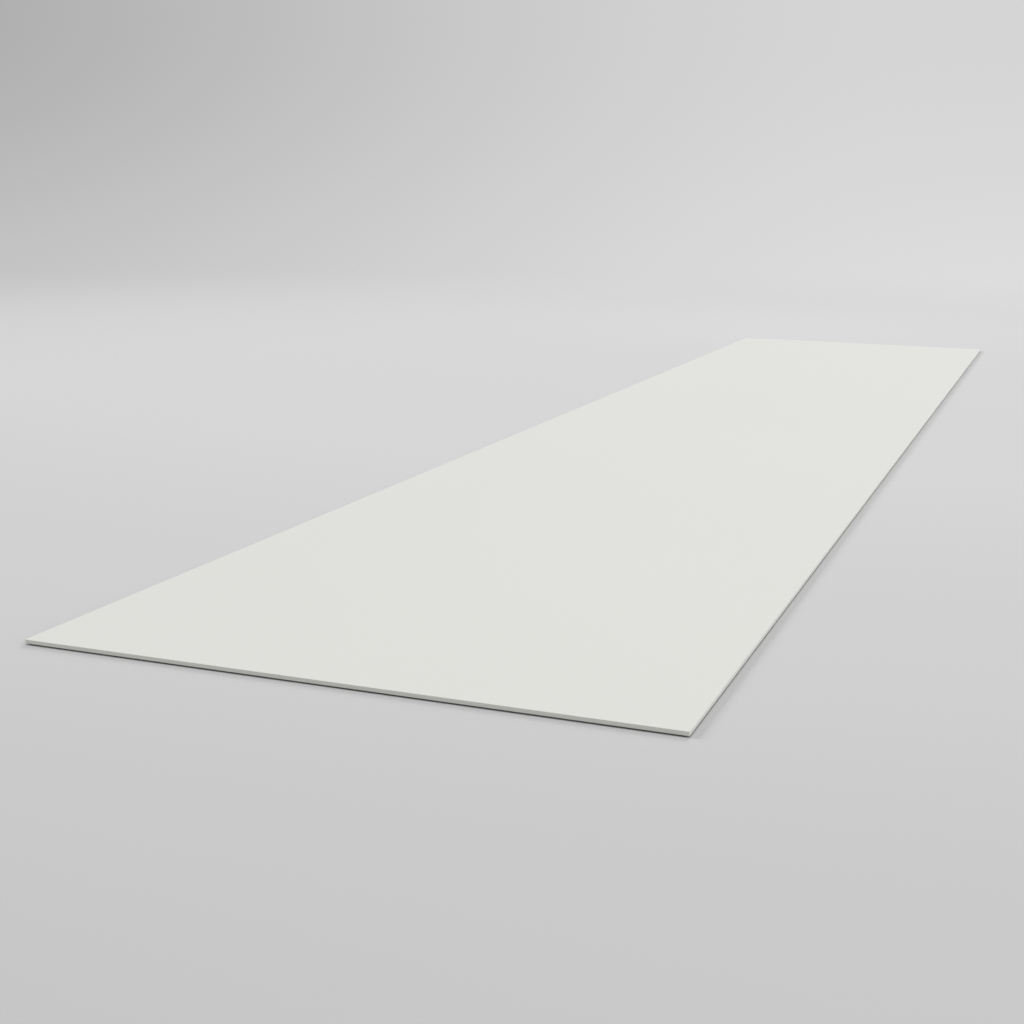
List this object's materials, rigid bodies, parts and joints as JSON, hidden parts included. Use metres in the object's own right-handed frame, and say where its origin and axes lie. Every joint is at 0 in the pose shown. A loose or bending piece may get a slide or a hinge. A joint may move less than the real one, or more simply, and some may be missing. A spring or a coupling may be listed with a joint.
{
  "type": "aluminum soffit board",
  "caption": "Long flat soffit board of solid aluminium sheet for lining the underside of eaves, powder coated off-white all over, with square corners and softly deburred edges",
  "frame": {"origin": "On the back of the board, at the middle of its length and width: the board lies on it, on a level floor", "axes": "+Y along the length, +X across the width, +Z out of the fair face"},
  "size_m": [0.5, 2.5, 0.003],
  "materials": {
    "coated_aluminium": "satin"
  },
  "bodies": {
    "root": {"soffit_board": "coated_aluminium"}
  },
  "joints": []
}
